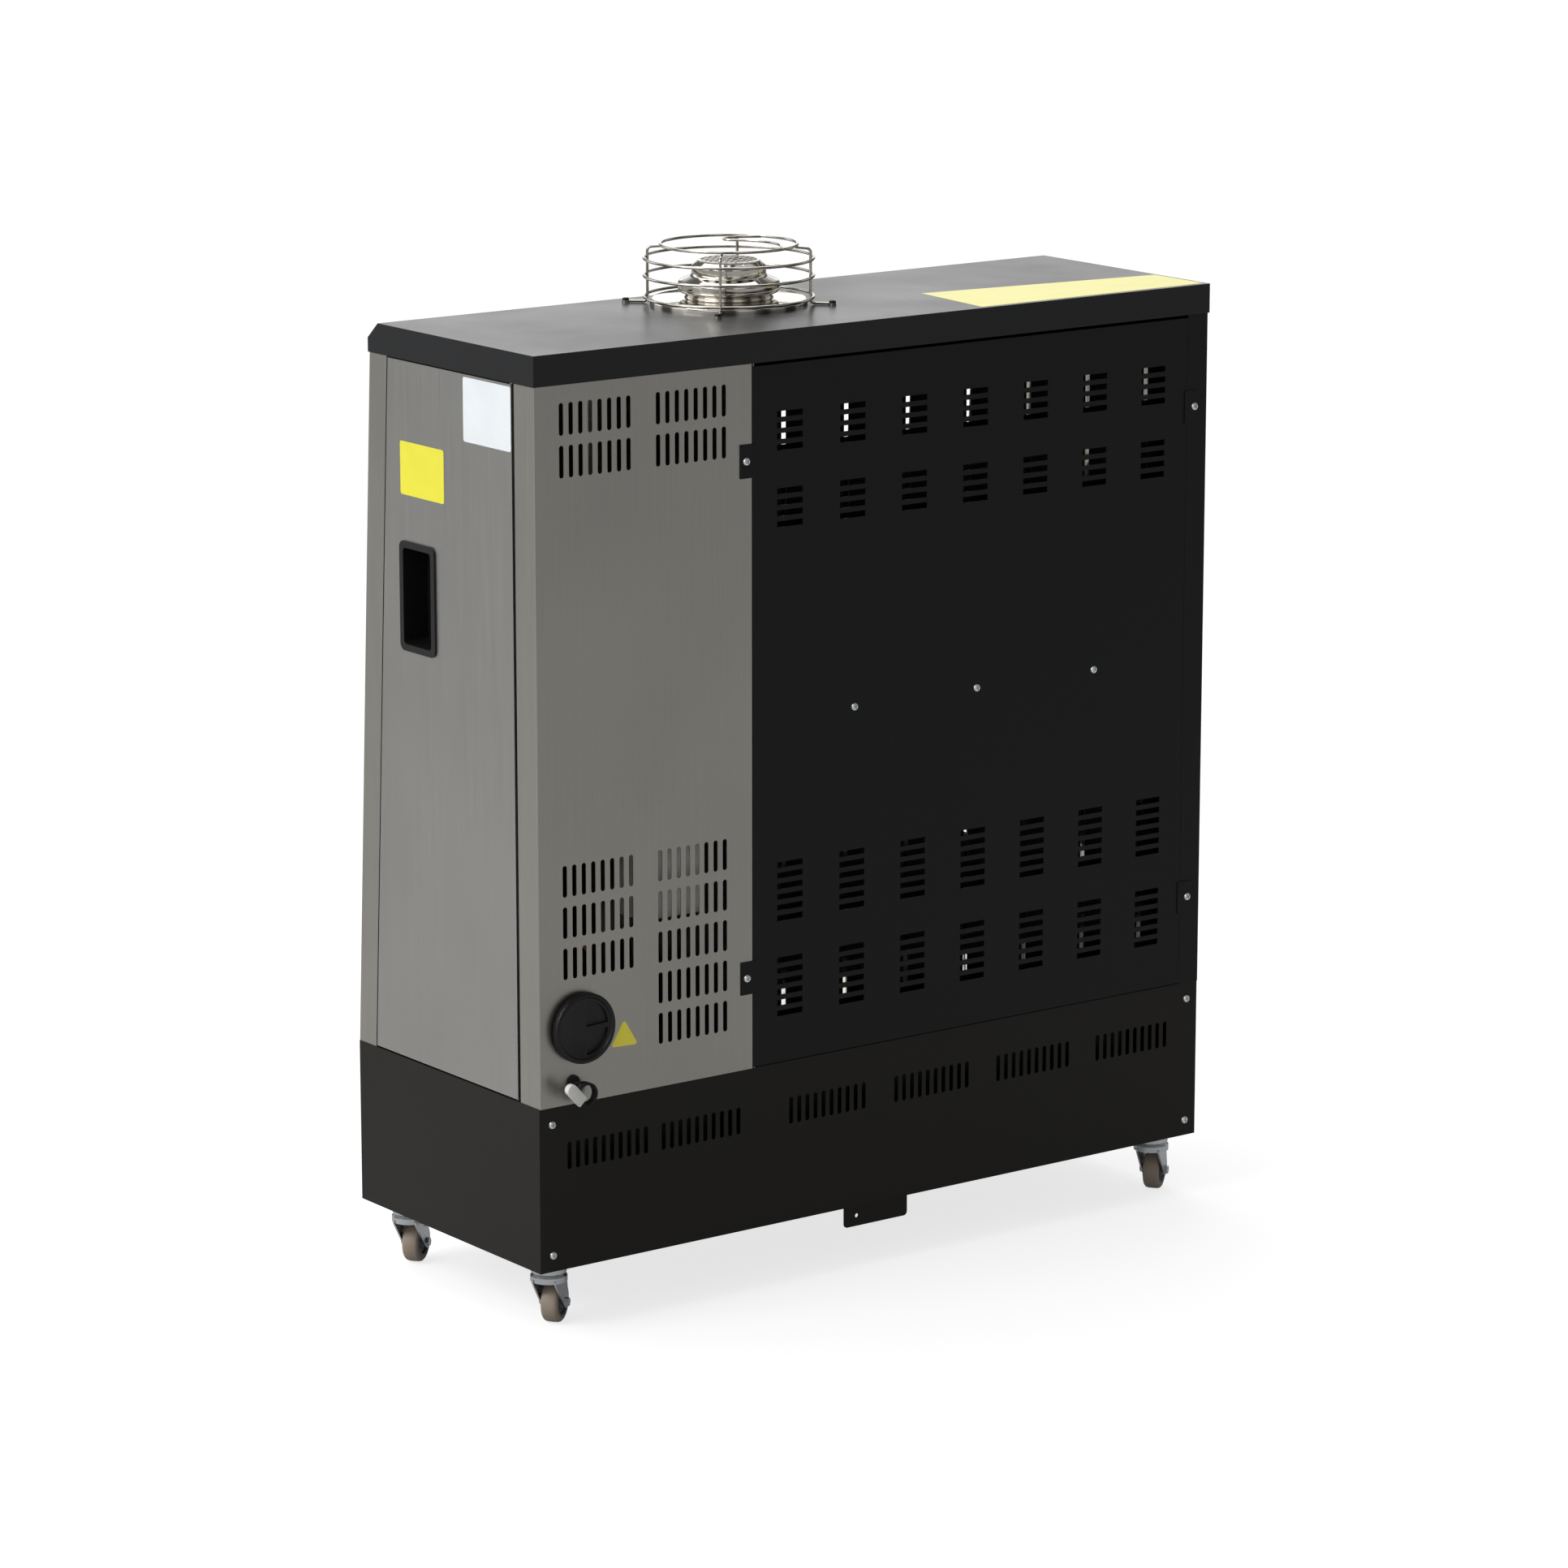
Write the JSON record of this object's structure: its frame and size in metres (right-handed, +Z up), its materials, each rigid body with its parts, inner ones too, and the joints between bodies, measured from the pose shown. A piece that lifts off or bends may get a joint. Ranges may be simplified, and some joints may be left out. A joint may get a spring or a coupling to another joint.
{
  "type": "infrared diesel heater",
  "caption": "Free-standing cabinet heater on swivel casters: louvred sheet-metal case, burner compartment with hinged end door, serpentine radiant tube, caged flue outlet and screw-on fuel cap.",
  "frame": {"origin": "on the floor under the middle of the cabinet", "axes": "+Z up, -Y the radiant front, +Y the louvred rear, +X the burner compartment's end with the hinged door"},
  "size_m": [1.0016, 0.4188, 1.2325],
  "materials": {
    "black_paint": "satin powder coat",
    "stainless": "fine brushed",
    "polished_steel": "polished",
    "galvanised": "dull zinc",
    "heat_coating": "matt ceramic coating",
    "black_plastic": "moulded grain",
    "black_rubber": "matt",
    "light_plastic": "moulded",
    "zinc": "bright zinc plate",
    "caster_wheel": "grey-brown tread",
    "cast_metal": "die cast",
    "copper": "drawn tube",
    "motor_paint": "satin",
    "window": "smoked",
    "board": "solder mask",
    "keys": "moulded"
  },
  "bodies": {
    "cabinet": {"base_pan": "galvanised", "base_skirt": "black_paint", "base_rear_panel": "black_paint", "base_deck": "galvanised", "fuel_tank": "galvanised", "filler_neck": "galvanised", "drain_guard": "black_paint", "fuel_gauge": "black_plastic", "rear_cover": "black_paint", "inner_back_plate": "galvanised", "rear_column_panel": "stainless", "front_column_panel": "stainless", "end_handle_cup": "black_plastic", "door_hinge_pins": "zinc", "end_panel": "black_paint", "partition": "galvanised", "top_plate": "galvanised", "top_lid": "black_paint", "chimney": "polished_steel", "chimney_grate": "polished_steel", "flue_guard": "polished_steel", "combustion_chamber": "heat_coating", "radiant_tubes": "heat_coating", "flue_pipe": "heat_coating", "reflector": "polished_steel", "front_frame": "black_paint", "front_guard": "polished_steel", "burner_housing": "cast_metal", "blower_motor": "motor_paint", "fuel_pump": "cast_metal", "fuel_filter": "cast_metal", "fuel_line": "copper", "ignition_box": "light_plastic", "control_panel": "black_plastic", "display_window": "window", "control_board": "board", "panel_screws": "zinc", "caster_plates": "zinc", "sensor_grommet": "black_rubber", "sensor_lead": "black_rubber", "sensor_housing": "light_plastic"},
    "door": {"side_door": "stainless", "door_handle_cup": "black_plastic"},
    "filler_gasket": {"cap_gasket": "black_rubber"},
    "filler_cap": {"fuel_cap": "black_plastic"},
    "fan": {"blower_wheel": "cast_metal"},
    "power_key": {"power_button": "keys"},
    "timer_key": {"timer_button": "keys"},
    "warmer_key": {"warmer_button": "keys"},
    "cooler_key": {"cooler_button": "keys"},
    "swivel_front_left": {"caster_fork_front_left": "zinc"},
    "wheel_front_left": {"caster_wheel_front_left": "caster_wheel"},
    "pedal_front_left": {"brake_pedal_front_left": "zinc"},
    "swivel_front_right": {"caster_fork_front_right": "zinc"},
    "wheel_front_right": {"caster_wheel_front_right": "caster_wheel"},
    "pedal_front_right": {"brake_pedal_front_right": "zinc"},
    "swivel_rear_left": {"caster_fork_rear_left": "zinc"},
    "wheel_rear_left": {"caster_wheel_rear_left": "caster_wheel"},
    "swivel_rear_right": {"caster_fork_rear_right": "zinc"},
    "wheel_rear_right": {"caster_wheel_rear_right": "caster_wheel"}
  },
  "joints": [
    {"name": "door_swing", "type": "hinge", "parent": "cabinet", "child": "door", "pos_m": [0.4919, 0.136, 0.279], "axis": [0, 0, 1], "range_deg": [0, 110]},
    {"name": "cap_pull", "type": "slide", "parent": "cabinet", "child": "filler_gasket", "axis": [0, 1, 0], "range_m": [0, 0.08]},
    {"name": "cap_turn", "type": "hinge", "parent": "filler_gasket", "child": "filler_cap", "pos_m": [0.4406, 0.1884, 0.3694], "axis": [0, 1, 0], "range_deg": [0, 120]},
    {"name": "fan_spin", "type": "hinge", "parent": "cabinet", "child": "fan", "pos_m": [0.25, -0.064, 0.44], "axis": [1, 0, 0], "continuous": true},
    {"name": "power_press", "type": "slide", "parent": "cabinet", "child": "power_key", "axis": [0, 0.9985, -0.0539], "range_m": [0, 0.0012], "stiffness_N_per_m": 400},
    {"name": "timer_press", "type": "slide", "parent": "cabinet", "child": "timer_key", "axis": [0, 0.9985, -0.0539], "range_m": [0, 0.0012], "stiffness_N_per_m": 400},
    {"name": "warmer_press", "type": "slide", "parent": "cabinet", "child": "warmer_key", "axis": [0, 0.9985, -0.0539], "range_m": [0, 0.0012], "stiffness_N_per_m": 400},
    {"name": "cooler_press", "type": "slide", "parent": "cabinet", "child": "cooler_key", "axis": [0, 0.9985, -0.0539], "range_m": [0, 0.0012], "stiffness_N_per_m": 400},
    {"name": "swivel_front_left", "type": "hinge", "parent": "cabinet", "child": "swivel_front_left", "pos_m": [0.461, -0.1508, 0.068], "axis": [0, 0, 1], "continuous": true},
    {"name": "roll_front_left", "type": "hinge", "parent": "swivel_front_left", "child": "wheel_front_left", "pos_m": [0.44491, -0.16267, 0.025], "axis": [-0.5937, 0.8047, 0], "continuous": true},
    {"name": "brake_front_left", "type": "hinge", "parent": "swivel_front_left", "child": "pedal_front_left", "pos_m": [0.44732, -0.16089, 0.05], "axis": [0.5937, -0.8047, 0], "range_deg": [0, 12], "stiffness_Nm_per_rad": 2},
    {"name": "swivel_front_right", "type": "hinge", "parent": "cabinet", "child": "swivel_front_right", "pos_m": [-0.461, -0.1508, 0.068], "axis": [0, 0, 1], "continuous": true},
    {"name": "roll_front_right", "type": "hinge", "parent": "swivel_front_right", "child": "wheel_front_right", "pos_m": [-0.44491, -0.16267, 0.025], "axis": [-0.5937, -0.8047, 0], "continuous": true},
    {"name": "brake_front_right", "type": "hinge", "parent": "swivel_front_right", "child": "pedal_front_right", "pos_m": [-0.44732, -0.16089, 0.05], "axis": [0.5937, 0.8047, 0], "range_deg": [0, 12], "stiffness_Nm_per_rad": 2},
    {"name": "swivel_rear_left", "type": "hinge", "parent": "cabinet", "child": "swivel_rear_left", "pos_m": [0.461, 0.1476, 0.068], "axis": [0, 0, 1], "continuous": true},
    {"name": "roll_rear_left", "type": "hinge", "parent": "swivel_rear_left", "child": "wheel_rear_left", "pos_m": [0.44491, 0.13573, 0.025], "axis": [-0.5937, 0.8047, 0], "continuous": true},
    {"name": "swivel_rear_right", "type": "hinge", "parent": "cabinet", "child": "swivel_rear_right", "pos_m": [-0.461, 0.1476, 0.068], "axis": [0, 0, 1], "continuous": true},
    {"name": "roll_rear_right", "type": "hinge", "parent": "swivel_rear_right", "child": "wheel_rear_right", "pos_m": [-0.47709, 0.13573, 0.025], "axis": [-0.5937, 0.8047, 0], "continuous": true}
  ]
}
